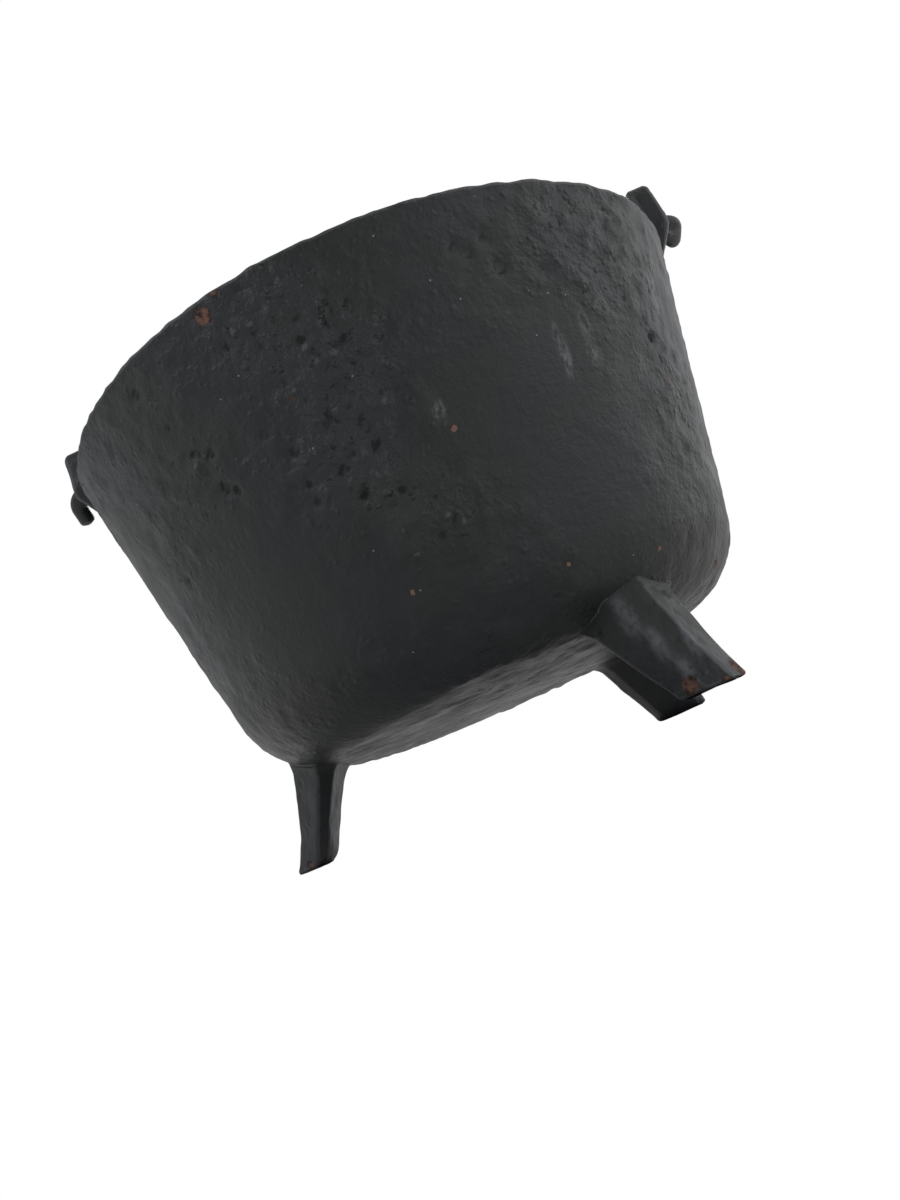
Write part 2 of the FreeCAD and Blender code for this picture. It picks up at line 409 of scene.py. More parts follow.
def skin(name, rings):
    """Closed mesh over rings of points (ring, column, xyz), each end closed round its middle."""
    ring_count, columns, _ = rings.shape
    ends = [rings[0].mean(axis=0), rings[-1].mean(axis=0)]
    points = np.concatenate([rings.reshape(-1, 3), ends])
    faces = []
    for ring in range(ring_count - 1):
        faces += band(ring * columns, (ring + 1) * columns, columns)
    last = (ring_count - 1) * columns
    start = ring_count * columns
    for column in range(columns):
        faces.append([start, (column + 1) % columns, column])
    for column in range(columns):
        faces.append([start + 1, last + column, last + (column + 1) % columns])
    return smooth_piece(name, points, faces)


def torus_skin(name, loops):
    """Closed ring-shaped mesh over loops of points (loop, point, xyz)."""
    loop_count, size, _ = loops.shape
    faces = []
    for loop in range(loop_count):
        faces += band(loop * size, (loop + 1) % loop_count * size, size)
    return smooth_piece(name, loops.reshape(-1, 3), faces)


def vertex_arrays(mesh):
    """Places and normals of a mesh's vertices, a row each."""
    places = np.empty(len(mesh.vertices) * 3, np.float32)
    normals = np.empty(len(mesh.vertices) * 3, np.float32)
    mesh.vertices.foreach_get("co", places)
    mesh.vertices.foreach_get("normal", normals)
    return places.reshape(-1, 3).astype(float), normals.reshape(-1, 3).astype(float)


def store(mesh, name, values):
    """Keeps one number for each vertex on the mesh."""
    layer = mesh.attributes.new(name, "FLOAT", "POINT")
    layer.data.foreach_set("value", values.astype(np.float32))


def sharpness(mesh):
    """How sharply each vertex stands out from its neighbours, per millimetre."""
    places, normals = vertex_arrays(mesh)
    pairs = np.empty(len(mesh.edges) * 2, np.int32)
    mesh.edges.foreach_get("vertices", pairs)
    pairs = pairs.reshape(-1, 2)
    pairs = np.concatenate([pairs, pairs[:, ::-1]])
    here, there = pairs[:, 0], pairs[:, 1]
    step = places[here] - places[there]
    bulge = (step * normals[here]).sum(axis=1) / (step ** 2).sum(axis=1)
    return np.bincount(here, bulge) / np.bincount(here) * MM


def roughen(piece, relief, roughness):
    """Moves every vertex along its normal by relief(points), and keeps it inside the CAD box.

    The mesh keeps two attributes for its material: rough and edge.
    """
    mesh = piece.data
    places, normals = vertex_arrays(mesh)
    moved = places + normals * relief(places)[:, None]
    moved = np.clip(moved, CAD_LOW, CAD_HIGH)
    mesh.vertices.foreach_set("co", moved.astype(np.float32).ravel())
    mesh.update()
    store(mesh, "rough", roughness(places))
    store(mesh, "edge", sharpness(mesh))


def plain_roughness(points):
    """How coarse the legs, ears and bail are."""
    return np.clip(PLAIN_BASE + noises(points, PLAIN_SWINGS), *PLAIN_LIMITS)


def finished(piece, body, node, material):
    """Puts the piece in its place of the frame and gives it its material."""
    piece.data.materials.append(material)
    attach(piece, body)
    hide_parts(node)
    return piece


def stretch(start, end, count):
    """Points along a straight line, without its end."""
    share = np.arange(count)[:, None] / count
    return np.array(start) * (1 - share) + np.array(end) * share


def bend(centre, radius, start, end, count):
    """Points along an arc, without its end. Angles are in radians."""
    angle = start + (end - start) * np.arange(count) / count
    return np.stack([centre[0] + radius * np.cos(angle), centre[1] + radius * np.sin(angle)], -1)


# ---------------------------------------------------------------- bowl

def corner_centre():
    """Radius and height of the centre of the bottom corner's arc."""
    height = UNDERSIDE + CORNER_RADIUS
    return BASE_RADIUS + TAPER * CORNER_RADIUS - CORNER_RADIUS * SLANT, height


def bowl_profile():
    """Radius and height along the bowl's section, from the underside's middle to the floor's."""
    centre = corner_centre()
    down = -math.pi / 2
    inner_radius = CORNER_RADIUS - WALL
    across = np.array([math.cos(WALL_ANGLE), -math.sin(WALL_ANGLE)])
    wall_low = np.array(centre) + across * CORNER_RADIUS
    inner_low = np.array(centre) + across * inner_radius
    rim_outer = (RIM_RADIUS - RIM_ROUND * TAPER, RIM_HEIGHT - RIM_ROUND)
    rim_width = WALL * SLANT
    rim_inner_x = RIM_RADIUS - rim_width
    outer_round = (RIM_RADIUS - RIM_ROUND * SLANT - RIM_ROUND * TAPER, RIM_HEIGHT - RIM_ROUND)
    inner_round = (rim_inner_x + RIM_ROUND * SLANT - RIM_ROUND * TAPER, RIM_HEIGHT - RIM_ROUND)
    outer_start = np.array(outer_round) + across * RIM_ROUND
    inner_end = np.array(inner_round) - across * RIM_ROUND
    return np.concatenate([
        stretch((BOWL_MIDDLE, UNDERSIDE), (centre[0], UNDERSIDE), UNDERSIDE_STEPS),
        bend(centre, CORNER_RADIUS, down, -WALL_ANGLE, CORNER_STEPS),
        stretch(wall_low, outer_start, WALL_STEPS),
        bend(outer_round, RIM_ROUND, -WALL_ANGLE, math.pi / 2, RIM_ROUND_STEPS),
        stretch((outer_round[0], RIM_HEIGHT), (inner_round[0], RIM_HEIGHT), RIM_TOP_STEPS),
        bend(inner_round, RIM_ROUND, math.pi / 2, math.pi - WALL_ANGLE, RIM_ROUND_STEPS),
        stretch(inner_end, inner_low, INNER_WALL_STEPS),
        bend(centre, inner_radius, -WALL_ANGLE, down, INNER_CORNER_STEPS),
        stretch((centre[0], UNDERSIDE + WALL), (BOWL_MIDDLE, UNDERSIDE + WALL), INNER_CORNER_STEPS),
    ])


def polar(points):
    """Distance from the pot's axis and degrees round it."""
    radius = np.hypot(points[:, 0], points[:, 1])
    return radius, np.degrees(np.arctan2(points[:, 1], points[:, 0]))


def bowl_roughness(points):
    """From about 0.05 where the casting is smooth to 1.6 where it is roughest."""
    radius, azimuth = polar(points)
    rough = COARSE_BASE + noises(points, COARSE_SWINGS)
    for middle, level, spread, amount in ROUGH_PATCHES:
        across = np.radians((azimuth - middle + 180) % 360 - 180) * radius
        distance = np.hypot(across, points[:, 2] - level * MM) / (spread * MM)
        rough += amount * np.exp(-distance ** 2)
    return np.clip(rough, *COARSE_LIMITS)


def scattered_dents():
    """Azimuth in degrees, and height, radius and depth in millimetres, of every dent."""
    every = []
    for group, (azimuth, height, scatter, count, size, deepest) in enumerate(DENT_GROUPS):
        for number in range(count):
            cells = np.array([[group, number, axis] for axis in range(2)])
            across, rise = (2 * hashed(cells, DENT_SEED) - 1) * scatter
            turn = math.degrees(across * MM / RIM_RADIUS)
            every.append((azimuth + turn, height + rise, size, deepest))
    return every


def dents(points):
    """Depth of the single dents at each point, in millimetres."""
    radius, azimuth = polar(points)
    depth = np.zeros(len(points))
    uneven = noises(points, DENT_UNEVEN)
    for middle, level, size, deepest in scattered_dents():
        across = np.radians(azimuth - middle) * radius
        distance = np.hypot(across, points[:, 2] - level * MM) / (size * MM) + uneven
        depth = np.maximum(depth, deepest * np.exp(-distance ** DENT_EDGE))
    return depth * (radius > corner_centre()[0])


def bowl_relief(points):
    """Waves, soft lumps, pimples and pits of the sand casting, and the nicked rim."""
    grain = noises(points, BOWL_LUMPS) + scattered(points, BOWL_PIMPLES) - scattered(points, BOWL_PITS)
    wall = noises(points, BOWL_WAVES) + grain * bowl_roughness(points) - dents(points) - BOWL_SINK
    start, full = RIM_BAND
    rim = smooth_step(RIM_HEIGHT - start, RIM_HEIGHT - full, points[:, 2])
    nicks = noises(points, RIM_WAVES) - scattered(points, RIM_NICKS)
    return (wall * (1 - RIM_SKIN_LOSS * rim) + nicks * rim) * MM


def bowl(material):
    """The section of the bowl, turned round its axis."""
    profile = bowl_profile()
    angle = np.arange(BOWL_COLUMNS) / BOWL_COLUMNS * 2 * math.pi
    rings = np.stack([
        profile[:, :1] * np.cos(angle),
        profile[:, :1] * np.sin(angle),
        np.repeat(profile[:, 1:], BOWL_COLUMNS, axis=1),
    ], -1)
    piece = skin("bowl_casting", rings)
    roughen(piece, bowl_relief, bowl_roughness)
    return finished(piece, "pot", "bowl", material)


def outside_bowl(points):
    """Distance of each point outside the bowl's outer form, negative within it."""
    centre_radius, centre_height = corner_centre()
    radius = np.hypot(points[..., 0], points[..., 1])
    height = points[..., 2]
    out = radius - centre_radius
    up = height - centre_height
    wall = ((radius - BASE_RADIUS) - TAPER * (height - UNDERSIDE)) / SLANT
    flat = np.maximum(wall, UNDERSIDE - height)
    at_corner = (out > 0) & (out * math.sin(WALL_ANGLE) + up * math.cos(WALL_ANGLE) < 0)
    return np.where(at_corner, np.hypot(out, up) - CORNER_RADIUS, flat)


def on_wall(azimuth, height):
    """Place on the bowl's outer form in millimetres, from degrees round the pot and a height."""
    centre_radius, centre_height = corner_centre()
    below = centre_height - height * MM
    radius = BASE_RADIUS + TAPER * (height * MM - UNDERSIDE)
    if below > CORNER_RADIUS * math.sin(WALL_ANGLE):
        radius = centre_radius + math.sqrt(CORNER_RADIUS ** 2 - below ** 2)
    turn = math.radians(azimuth)
    return radius / MM * math.cos(turn), radius / MM * math.sin(turn), height


# ---------------------------------------------------------------- legs

def rounded_outline(corners, count):
    """Evenly spaced points round a closed outline. Each corner is (x, y, rounding)."""
    points = []
    for index, (x, y, rounding) in enumerate(corners):
        corner = Vector((x, y))
        back = (Vector(corners[index - 1][:2]) - corner).normalized()
        ahead = (Vector(corners[(index + 1) % len(corners)][:2]) - corner).normalized()
        half = back.angle(ahead) / 2
        centre = corner + (back + ahead).normalized() * rounding / math.sin(half)
        first = corner + back * rounding / math.tan(half) - centre
        turn = math.pi - 2 * half
        if first.x * ahead.y - first.y * ahead.x < 0:
            turn = -turn
        for step in range(OUTLINE_BEND_STEPS + 1):
            angle = turn * step / OUTLINE_BEND_STEPS
            points.append((
                centre.x + first.x * math.cos(angle) - first.y * math.sin(angle),
                centre.y + first.x * math.sin(angle) + first.y * math.cos(angle),
            ))
    closed = np.array(points + points[:1])
    travelled = np.concatenate([[0], np.cumsum(np.linalg.norm(np.diff(closed, axis=0), axis=1))])
    wanted = np.arange(count) / count * travelled[-1]
    return np.stack([np.interp(wanted, travelled, closed[:, axis]) for axis in (0, 1)], -1)


def outline_normals(outline):
    """Outward unit normals of a closed outline that runs anticlockwise."""
    along = np.roll(outline, -1, axis=0) - np.roll(outline, 1, axis=0)
    along /= np.linalg.norm(along, axis=1)[:, None]
    return np.stack([along[:, 1], -along[:, 0]], -1)


def leg_outline(depth, half_width):
    """Section of a leg about the origin, with its narrow outer face towards +x."""
    far_side = [(share, -width, rounding) for share, width, rounding in reversed(LEG_SIDE)]
    corners = [((0.5 - share) * depth, width * half_width, rounding)
               for share, width, rounding in list(LEG_SIDE) + far_side]
    return rounded_outline(corners, LEG_COLUMNS)


def fillet(distance, radius):
    """How far a fillet stands out at a distance from the surface that it runs into."""
    inside = np.clip(radius - distance, 0, radius)
    return radius - np.sqrt(radius ** 2 - inside ** 2)


def leg_relief(points):
    """Waves and lumps that fade out where the leg meets the bowl."""
    root = smooth_step(0, LEG_ROOT_FLARE, outside_bowl(points))
    return (noises(points, LEG_WAVES) + scattered(points, LEG_LUMPS) - LEG_SINK) * root * MM


def leg(node, material):
    """A tapering six-sided leg, with a rounded sole and a fillet where it runs into the bowl."""
    sole, drift, facing = LEG_PLACES[node]
    mounts = frame["record"]["mounts"]
    place = next(mount["pos_m"] for mount in mounts if mount["name"] == sole)
    turn = math.radians(facing)
    stations = np.array(LEG_STATIONS) * MM
    heights = np.linspace(0, LEG_TOP, LEG_SAMPLES)
    outer, inner, half_width = (
        np.polyval(np.polyfit(stations[:, 0], stations[:, column], 3), heights)
        for column in (1, 2, 3))
    azimuth = math.atan2(place[1], place[0]) + math.radians(drift) * heights / UNDERSIDE
    middle = (outer + inner) / 2
    outlines = np.array([leg_outline(*size) for size in zip(outer - inner, half_width)])
    normals = np.array([outline_normals(outline) for outline in outlines])
    inward = 0.5 - outlines[..., 0] / (outer - inner)[:, None]
    sole_change = smooth_step(*SOLE_ROUND_CHANGE, inward)
    sole_round = SOLE_ROUND_OUTER + (SOLE_ROUND_INNER - SOLE_ROUND_OUTER) * sole_change

    def placed(outline):
        x = outline[..., 0] * math.cos(turn) - outline[..., 1] * math.sin(turn)
        y = outline[..., 0] * math.sin(turn) + outline[..., 1] * math.cos(turn)
        x = x + (middle * np.cos(azimuth))[:, None]
        y = y + (middle * np.sin(azimuth))[:, None]
        return np.stack([x, y, np.broadcast_to(heights[:, None], x.shape)], -1)

    above_bowl = outside_bowl(placed(outlines))
    across = (outside_bowl(placed(outlines + normals * PROBE)) - above_bowl) / PROBE
    root_round = fillet(above_bowl + LEG_ROOT_SINK, LEG_ROOT_FLARE) * (1 - np.abs(across)) ** 2
    swell = root_round - fillet(heights[:, None], sole_round)
    grown = placed(outlines + normals * swell[..., None])
    depth = outside_bowl(grown)
    rings = np.empty((LEG_RINGS, LEG_COLUMNS, 3))
    share = np.linspace(0, 1, LEG_RINGS)
    share = share - LEG_RING_CROWDING * np.sin(2 * math.pi * share) / math.pi
    for column in range(LEG_COLUMNS):
        buried = np.argmax(depth[:, column] < -LEG_ROOT_DEPTH)
        wanted = share * heights[buried]
        for axis in range(3):
            rings[:, column, axis] = np.interp(wanted, heights, grown[:, column, axis])
    piece = skin(f"{node}_casting", rings)
    roughen(piece, leg_relief, plain_roughness)
    return finished(piece, "pot", node, material)


# ---------------------------------------------------------------- ears

def ear_outline():
    """Outline of an ear seen from outside, around the eye: y along the rim, z above the eye."""
    top = EAR_HIGH.z - PIVOT.z
    foot = EAR_LOW.z - EAR_ROOT - PIVOT.z
    waist = RIM_HEIGHT + EAR_WAIST - PIVOT.z
    corners = [
        (EAR_FOOT_HALF, foot, EAR_FOOT_ROUND),
        (EAR_WAIST_HALF, waist, EAR_WAIST_ROUND),
        (EAR_TOP_HALF, top, EAR_TOP_ROUND),
        (-EAR_TOP_HALF, top, EAR_TOP_ROUND),
        (-EAR_WAIST_HALF, waist, EAR_WAIST_ROUND),
        (-EAR_FOOT_HALF, foot, EAR_FOOT_ROUND),
    ]
    return rounded_outline(corners, EAR_COLUMNS)


def ear_relief(points):
    """Waves and lumps of the casting."""
    return (noises(points, EAR_WAVES) + scattered(points, EAR_LUMPS) - EAR_SINK) * MM


def ear(node, side, material):
    """An upright lug with a hole: loops of points run through the eye and over both faces."""
    outline = ear_outline()
    reach = np.linalg.norm(outline, axis=1)
    toward = outline / reach[:, None]
    full = EAR_HIGH.x - EAR_LOW.x
    foot = EAR_LOW.z - EAR_ROOT
    shoulder = RIM_HEIGHT + EAR_CORBEL
    loops = []
    for distance, (along, up) in zip(reach, toward):
        loop = []
        for rho, depth in ear_section(distance, full):
            height = PIVOT.z + up * rho
            slope = np.clip((height - foot) / (shoulder - foot), 0, 1)
            out = depth * (EAR_FOOT_SHARE + (1 - EAR_FOOT_SHARE) * slope)
            loop.append((side * (EAR_LOW.x + out), side * along * rho, height))
        loops.append(loop)
    piece = torus_skin(f"{node}_casting", np.array(loops))
    roughen(piece, ear_relief, plain_roughness)
    return finished(piece, "pot", node, material)


def ear_section(distance, thickness):
    """Loop of (distance from the eye's axis, depth) points round the metal between eye and edge."""
    eye_low = (EYE_RADIUS + EYE_EDGE_ROUND, EYE_EDGE_ROUND)
    eye_high = (EYE_RADIUS + EYE_EDGE_ROUND, thickness - EYE_EDGE_ROUND)
    edge_low = (distance - EAR_EDGE_ROUND, EAR_EDGE_ROUND)
    edge_high = (distance - EAR_EDGE_ROUND, thickness - EAR_EDGE_ROUND)
    right = math.pi / 2
    return np.concatenate([
        stretch((EYE_RADIUS, eye_low[1]), (EYE_RADIUS, eye_high[1]), EAR_SIDE_STEPS),
        bend(eye_high, EYE_EDGE_ROUND, 2 * right, right, EYE_EDGE_STEPS),
        stretch((eye_high[0], thickness), (edge_high[0], thickness), EAR_FACE_STEPS),
        bend(edge_high, EAR_EDGE_ROUND, right, 0, EAR_EDGE_STEPS),
        stretch((distance, edge_high[1]), (distance, edge_low[1]), EAR_SIDE_STEPS),
        bend(edge_low, EAR_EDGE_ROUND, 0, -right, EAR_EDGE_STEPS),
        stretch((edge_low[0], 0), (eye_low[0], 0), EAR_FACE_STEPS),
        bend(eye_low, EYE_EDGE_ROUND, -right, -2 * right, EYE_EDGE_STEPS),
    ])


# ---------------------------------------------------------------- bail

def half_bail(length, lean):
    """Points (x, z) from the tip of the right-hand hook to the crown, and the lean at each."""
    down = -math.pi / 2
    pin_end = TIP_X - HOOK_BEND
    pin_start = ARCH_RADIUS + HOOK_BEND
    points = np.concatenate([
        stretch((TIP_X, length), (TIP_X, HOOK_BEND), HOOK_STEPS),
        bend((pin_end, HOOK_BEND), HOOK_BEND, 0, down, HOOK_STEPS),
        stretch((pin_end, 0), (pin_start, 0), HOOK_STEPS),
        bend((pin_start, HOOK_BEND), HOOK_BEND, down, 2 * down, HOOK_STEPS),
        bend((0, HOOK_BEND), ARCH_RADIUS, 0, -down, ARCH_STEPS),
    ])
    return points, math.radians(lean) * smooth_step(pin_start, pin_end, points[:, 0])


def bail_path():
    """Distance along the rod, the (x, z) of its upright centreline, and its lean out of that plane."""
    right, right_lean = half_bail(*RIGHT_HOOK)
    left, left_lean = half_bail(*LEFT_HOOK)
    path = np.concatenate([right, [[0, BAIL_REACH]], left[::-1] * (-1, 1)])
    lean = np.concatenate([right_lean, [0], left_lean[::-1]])
    travelled = np.concatenate([[0], np.cumsum(np.linalg.norm(np.diff(path, axis=0), axis=1))])
    wanted = np.linspace(0, travelled[-1], int(travelled[-1] / ROD_STEP))
    x, z, lean = (np.interp(wanted, travelled, values) for values in (*path.T, lean))
    return wanted, np.stack([x, z], -1), lean


def bail_relief(points):
    """Faint waves and small pits of the rod."""
    return (noises(points, BAIL_WAVES) - scattered(points, BAIL_PITS) - BAIL_SINK) * MM


def bail(material):
    """Round rod along the bail's path, laid down on the rim."""
    travelled, path, lean = bail_path()
    along = np.gradient(path, axis=0)
    along /= np.linalg.norm(along, axis=1)[:, None]
    to_tip = np.minimum(travelled, travelled[-1] - travelled)
    thickness = ROD_RADIUS - fillet(to_tip, TIP_ROUND)
    angle = np.arange(ROD_COLUMNS) / ROD_COLUMNS * 2 * math.pi
    sideways = np.cos(angle)[None, :] * thickness[:, None]
    across = np.sin(angle)[None, :] * thickness[:, None]
    x = path[:, :1] + sideways * along[:, 1:]
    up = path[:, 1:] - sideways * along[:, :1]
    turn = -lean[:, None] - (math.pi / 2 + REST_ANGLE)
    y = across * np.cos(turn) - up * np.sin(turn)
    z = across * np.sin(turn) + up * np.cos(turn)
    rings = np.stack([x, y, z], -1) + np.array(PIVOT)
    piece = skin("bail_rod", rings)
    roughen(piece, bail_relief, plain_roughness)
    return finished(piece, "handle", "bail", material)


# ---------------------------------------------------------------- materials

class Nodes:
    """Short calls for building one material's or world's shader nodes."""

    def __init__(self, tree):
        self.tree = tree
        tree.nodes.clear()

    def add(self, kind, inputs, output=0, **settings):
        """Adds a node. Inputs are values or other nodes' outputs. Returns one of its outputs."""
        node = self.tree.nodes.new("ShaderNode" + kind)
        for name, value in settings.items():
            setattr(node, name, value)
        for name, value in inputs.items():
            if isinstance(value, bpy.types.NodeSocket):
                self.tree.links.new(value, node.inputs[name])
            else:
                node.inputs[name].default_value = value
        return node.outputs[output] if len(node.outputs) else node

    def math(self, operation, *values):
        return self.add("Math", dict(enumerate(values)), operation=operation)

    def vector(self, operation, *values):
        output = "Value" if operation in ("DISTANCE", "LENGTH", "DOT_PRODUCT") else 0
        return self.add("VectorMath", dict(enumerate(values)), output, operation=operation)

    def scaled(self, vector, factor):
        return self.add("VectorMath", {0: vector, "Scale": factor}, operation="SCALE")

    def ramp(self, value, low, high, to_low=0.0, to_high=1.0):
        """Value from low..high taken smoothly to to_low..to_high."""
        return self.add("MapRange", {0: value, 1: low, 2: high, 3: to_low, 4: to_high},
                        interpolation_type="SMOOTHSTEP")

    def noise(self, vector, size, detail=2.0, roughness=0.5):
        return self.add("TexNoise", {"Vector": vector, "Scale": 1 / size, "Detail": detail,
                                     "Roughness": roughness})

    def cells(self, vector, size, randomness=1.0):
        """Distance to the nearest of scattered points, about size apart."""
        return self.add("TexVoronoi", {"Vector": vector, "Scale": 1 / size,
                                       "Randomness": randomness})

    def blend(self, factor, first, second):
        return self.add("Mix", {0: factor, 6: first, 7: second}, 2, data_type="RGBA")

    def any_of(self, *values):
        """The greatest of some masks."""
        total = values[0]
        for value in values[1:]:
            total = self.math("MAXIMUM", total, value)
        return total


def spots(nodes, place, ragged, list_of_spots):
    """Mask that is 1 inside ragged round spots."""
    masks = []
    for x, y, z, radius in list_of_spots:
        distance = nodes.vector("DISTANCE", place, (x, y, z))
        edge = nodes.math("ADD", distance, ragged)
        masks.append(nodes.ramp(edge, radius * 1.15, radius * 0.85))
    return nodes.any_of(*masks)


def rubbed(nodes, place, list_of_patches):
    """Mask that fades out over upright oval patches."""
    masks = []
    for x, y, z, half_width, half_height in list_of_patches:
        offset = nodes.vector("SUBTRACT", place, (x, y, z))
        squeezed = nodes.vector("DIVIDE", offset, (half_width, half_width, half_height))
        masks.append(nodes.ramp(nodes.vector("LENGTH", squeezed), 1.0, 0.25))
    return nodes.any_of(*masks)


def on_surface(rows):
    """Rows of (azimuth, height, ...) on the wall as rows of (x, y, z, ...)."""
    return [(*on_wall(azimuth, height), *rest) for azimuth, height, *rest in rows]


def fields(nodes):
    """Place in millimetres, the mesh's two attributes, and the noises that a finish is made from."""
    place = nodes.scaled(nodes.add("TexCoord", {}, "Object"), 1 / MM)
    flat = nodes.vector("MULTIPLY", place, (0.12, 0.12, 1.0))
    upright = nodes.vector("MULTIPLY", place, (1.0, 1.0, 0.22))
    return SimpleNamespace(
        place=place,
        rough=nodes.add("Attribute", {}, "Fac", attribute_name="rough"),
        edge=nodes.add("Attribute", {}, "Fac", attribute_name="edge"),
        broad=nodes.noise(place, 30.0, 3.0, 0.55),
        cloudy=nodes.noise(place, 8.0, 4.0, 0.6),
        fine=nodes.noise(place, 1.3, 3.0, 0.6),
        dusty=nodes.noise(place, 0.45, 2.0, 0.7),
        brushed=nodes.noise(flat, 0.8, 3.0, 0.6),
        rubbing=nodes.noise(upright, 0.9, 3.0, 0.7),
    )


def fresh_paint(nodes, field, dust):
    """Black paint that is cooler and warmer by turns, greyer where the casting is coarse, and dusty."""
    paint = nodes.blend(nodes.ramp(field.broad, 0.38, 0.62), PAINT_COOL, PAINT_WARM)
    paint = nodes.blend(nodes.ramp(field.cloudy, 0.45, 0.75, 0.0, 0.45), paint, PAINT_WORN)
    paint = nodes.blend(nodes.ramp(field.rough, 0.8, 1.5, 0.0, 0.5), paint, PAINT_WORN)
    return nodes.blend(nodes.math("MULTIPLY", dust, 0.35), paint, DUST)


def rubbed_edges(nodes, field, paint, worn, keen):
    """Paint rubbed thin where the mesh stands out by more than keen, and over listed patches that are
    partly a painted highlight.
    """
    torn = nodes.math("MULTIPLY", nodes.math("SUBTRACT", field.fine, 0.5), 2.0 * keen)
    rub = nodes.ramp(nodes.math("ADD", field.edge, torn), keen, 2.2 * keen, 0.0, worn)
    paint = nodes.blend(rub, paint, BARE_AND_HIGHLIT)
    ridge = nodes.ramp(field.fine, 0.30, 0.62, 0.2, 0.8)
    # Rubbed grey patches up the near leg, partly a painted highlight along its ridges
    rubbed_and_highlit = nodes.math("MULTIPLY", rubbed(nodes, field.place, WORN_AND_HIGHLIT), ridge)
    return nodes.blend(rubbed_and_highlit, paint, BARE_AND_HIGHLIT)


def scuffs_and_specks(nodes, field, paint):
    """Pale broken strokes and small pale specks on the paint."""
    scuff = rubbed(nodes, field.place, on_surface(SCUFFS))
    scuff = nodes.math("MULTIPLY", scuff, nodes.ramp(field.rubbing, 0.40, 0.64))
    scuff = nodes.math("MULTIPLY", scuff, nodes.ramp(field.cloudy, 0.34, 0.58))
    paint = nodes.blend(nodes.math("MULTIPLY", scuff, 0.45), paint, SCUFF)
    return nodes.blend(nodes.ramp(nodes.cells(field.place, 5.0), 0.045, 0.022), paint, SPECK)


def chips(nodes, field):
    """Masks of the chips down to rust and of the chips down to primer."""
    ragged = nodes.math("MULTIPLY", nodes.math("SUBTRACT", field.fine, 0.5), 2.2)
    shifted = nodes.vector("ADD", field.place, (3.0, 5.0, 7.0))
    flecks = nodes.ramp(nodes.cells(shifted, 15.0), 0.040, 0.025)
    rusted = on_surface(WALL_RUST) + list(SOLE_RUST)
    rust = nodes.any_of(spots(nodes, field.place, ragged, rusted), flecks)
    slightly_ragged = nodes.math("MULTIPLY", ragged, 0.4)
    return rust, spots(nodes, field.place, slightly_ragged, on_surface(PRIMER_CHIPS))


def cast_grain(nodes, field, chipped, grain):
    """Bump of the sand casting under the paint, in millimetres, sunk where the paint is chipped."""
    pimples = nodes.math("MULTIPLY", nodes.ramp(nodes.cells(field.place, 1.9), 0.45, 0.05), 0.32)
    present = nodes.ramp(nodes.noise(field.place, 3.1, 1.0), 0.42, 0.60)
    pimples = nodes.math("MULTIPLY", pimples, present)
    peel = nodes.math("MULTIPLY", nodes.noise(field.place, 4.2, 4.0, 0.62), 1.15)
    coarse = nodes.math("MULTIPLY", nodes.math("ADD", pimples, peel), field.rough)
    fine = nodes.math("MULTIPLY", field.fine, 0.20)
    sand = nodes.math("ADD", fine, nodes.math("MULTIPLY", field.dusty, 0.05))
    brush = nodes.math("MULTIPLY", field.brushed, 0.06)
    relief = nodes.math("ADD", coarse, nodes.math("ADD", sand, brush))
    relief = nodes.math("MULTIPLY", relief, grain)
    relief = nodes.math("SUBTRACT", relief, nodes.math("MULTIPLY", chipped, 0.15))
    return nodes.add("Bump", {"Height": relief, "Distance": MM, "Strength": 1.0})


def painted_iron(name, grain, worn, keen):
    """Satin black paint over sand-cast iron, with rubbed edges, dust, specks, scuffs and chips, and
    painted shade in its hollows.

    The mesh attribute rough says where the casting is coarse, and edge where it stands out.
    """
    material = bpy.data.materials.new(name)
    material.use_nodes = True
    nodes = Nodes(material.node_tree)
    field = fields(nodes)
    dust = nodes.math(
        "MULTIPLY", nodes.ramp(field.dusty, 0.55, 0.80), nodes.ramp(field.cloudy, 0.40, 0.70))
    hollow = nodes.ramp(field.edge, -0.05, -0.22)
    rust, primer = chips(nodes, field)
    chipped = nodes.any_of(rust, primer)

    paint = fresh_paint(nodes, field, dust)
    # Painted shade: the paint darkens towards near-black in the mesh's hollows
    paint = nodes.blend(nodes.math("MULTIPLY", hollow, 0.5), paint, HOLLOW_SHADE)
    paint = rubbed_edges(nodes, field, paint, worn, keen)
    paint = scuffs_and_specks(nodes, field, paint)
    rust_tone = nodes.blend(nodes.ramp(field.fine, 0.35, 0.60), RUST_DARK, RUST_LIGHT)
    base = nodes.blend(primer, nodes.blend(rust, paint, rust_tone), PRIMER)

    gloss = nodes.ramp(field.cloudy, 0.3, 0.7, 0.38, 0.50)
    gloss = nodes.math("ADD", gloss, nodes.math("MULTIPLY", dust, 0.25))
    gloss = nodes.math("ADD", gloss, nodes.math("MULTIPLY", nodes.any_of(chipped, hollow), 0.35))

    shader = nodes.add("BsdfPrincipled", {
        "Base Color": base,
        "Roughness": gloss,
        "Normal": cast_grain(nodes, field, chipped, grain),
        "Specular IOR Level": 0.5,
    })
    nodes.add("OutputMaterial", {"Surface": shader})
    return material


# ---------------------------------------------------------------- studio

def floor():
    """A wide pale floor. It shows only from above, so it never hides the pot from a low camera."""
    bpy.ops.mesh.primitive_circle_add(vertices=FLOOR_SIDES, radius=FLOOR_RADIUS, fill_type="NGON")
    ground = bpy.context.object
    ground.name = "studio_floor"
    material = bpy.data.materials.new("pale_floor")
    material.use_nodes = True
    nodes = Nodes(material.node_tree)
    place = nodes.add("TexCoord", {}, "Object")
    tone = nodes.blend(nodes.noise(place, FLOOR_CLOUDS, 3.0), *FLOOR_TONES)
    pale = nodes.add("BsdfDiffuse", {"Color": tone})
    clear = nodes.add("BsdfTransparent", {})
    backfacing = nodes.add("NewGeometry", {}, "Backfacing")
    nodes.add("OutputMaterial", {"Surface": nodes.add("MixShader", {0: backfacing, 1: pale, 2: clear})})
    ground.data.materials.append(material)


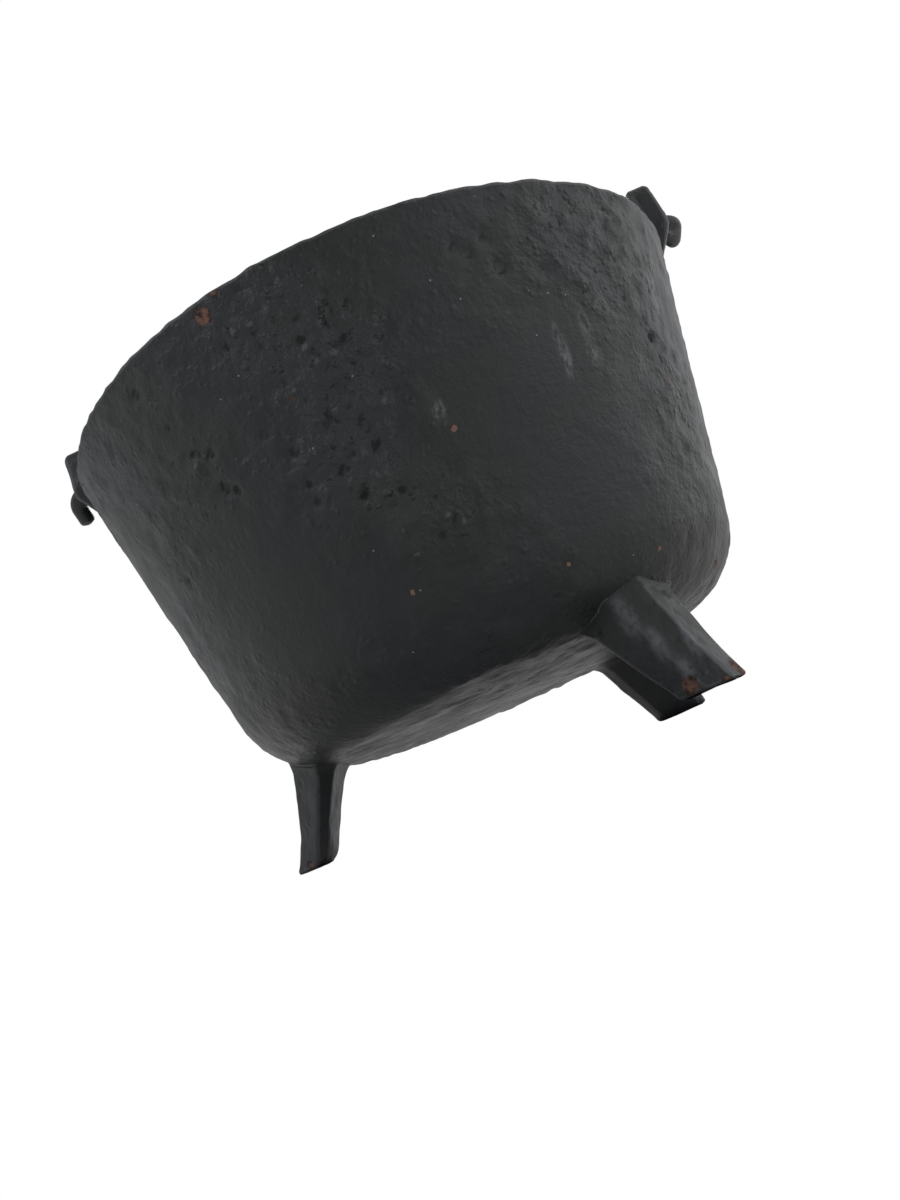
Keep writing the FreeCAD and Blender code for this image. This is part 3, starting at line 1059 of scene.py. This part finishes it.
def surroundings():
    """White to the camera, and a soft room for the light: dim in front, brighter round it."""
    world = bpy.data.worlds.new("studio")
    bpy.context.scene.world = world
    world.use_nodes = True
    nodes = Nodes(world.node_tree)
    direction = nodes.add("TexCoord", {}, "Generated")
    glow = ROOM_BASE
    for side, start, end, strength in ROOM_SIDES:
        toward = nodes.vector("DOT_PRODUCT", direction, side)
        glow = nodes.math("ADD", nodes.ramp(toward, start, end, 0.0, strength), glow)
    room = nodes.add("Background", {"Color": ROOM_COLOUR, "Strength": glow})
    white = nodes.add("Background", {"Color": (1, 1, 1, 1), "Strength": 1.0})
    seen = nodes.add("LightPath", {}, "Is Camera Ray")
    nodes.add("OutputWorld", {"Surface": nodes.add("MixShader", {0: seen, 1: room, 2: white})})


def lamps():
    """Soft round lamps that look at the middle of the pot."""
    middle = Vector((0, 0, RIM_HEIGHT / 2))
    for name, place, size, power, colour in LAMPS:
        light = bpy.data.lights.new(name, "AREA")
        light.shape = "DISK"
        light.size = size
        light.energy = power
        light.color = colour
        holder = bpy.data.objects.new(name, light)
        holder.location = place
        holder.rotation_mode = "QUATERNION"
        holder.rotation_quaternion = (middle - Vector(place)).to_track_quat("-Z", "Y")
        bpy.context.scene.collection.objects.link(holder)


def camera():
    """Aims at the middle of the rim, and is then panned, tilted and rolled."""
    turn = math.radians(CAMERA_TURN)
    drop = math.radians(CAMERA_DROP)
    level = math.cos(drop)
    backward = Vector((math.sin(turn) * level, -math.cos(turn) * level, -math.sin(drop)))
    lens = bpy.data.cameras.new("camera")
    lens.lens = CAMERA_LENS
    lens.sensor_width = CAMERA_SENSOR
    lens.clip_start, lens.clip_end = CAMERA_REACH
    holder = bpy.data.objects.new("camera", lens)
    holder.location = Vector((0, 0, RIM_HEIGHT)) + backward * CAMERA_DISTANCE
    holder.rotation_mode = "QUATERNION"
    holder.rotation_quaternion = (
        (-backward).to_track_quat("-Z", "Y")
        @ Quaternion((0, 1, 0), math.radians(CAMERA_PAN))
        @ Quaternion((1, 0, 0), math.radians(CAMERA_TILT))
        @ Quaternion((0, 0, 1), math.radians(-CAMERA_ROLL))
    )
    bpy.context.scene.collection.objects.link(holder)
    bpy.context.scene.camera = holder


def main():
    casting = painted_iron("painted_casting", grain=1.0, worn=0.5, keen=0.13)
    small_casting = painted_iron("painted_small_casting", grain=0.45, worn=0.35, keen=0.09)
    rod_paint = painted_iron("painted_rod", grain=0.4, worn=0.4, keen=0.14)
    bowl(casting)
    for node in LEG_PLACES:
        leg(node, small_casting)
    ear("ear_right", 1, small_casting)
    ear("ear_left", -1, small_casting)
    bail(rod_paint)
    floor()
    surroundings()
    lamps()
    camera()
    bpy.context.scene.view_settings.view_transform = "Standard"


main()
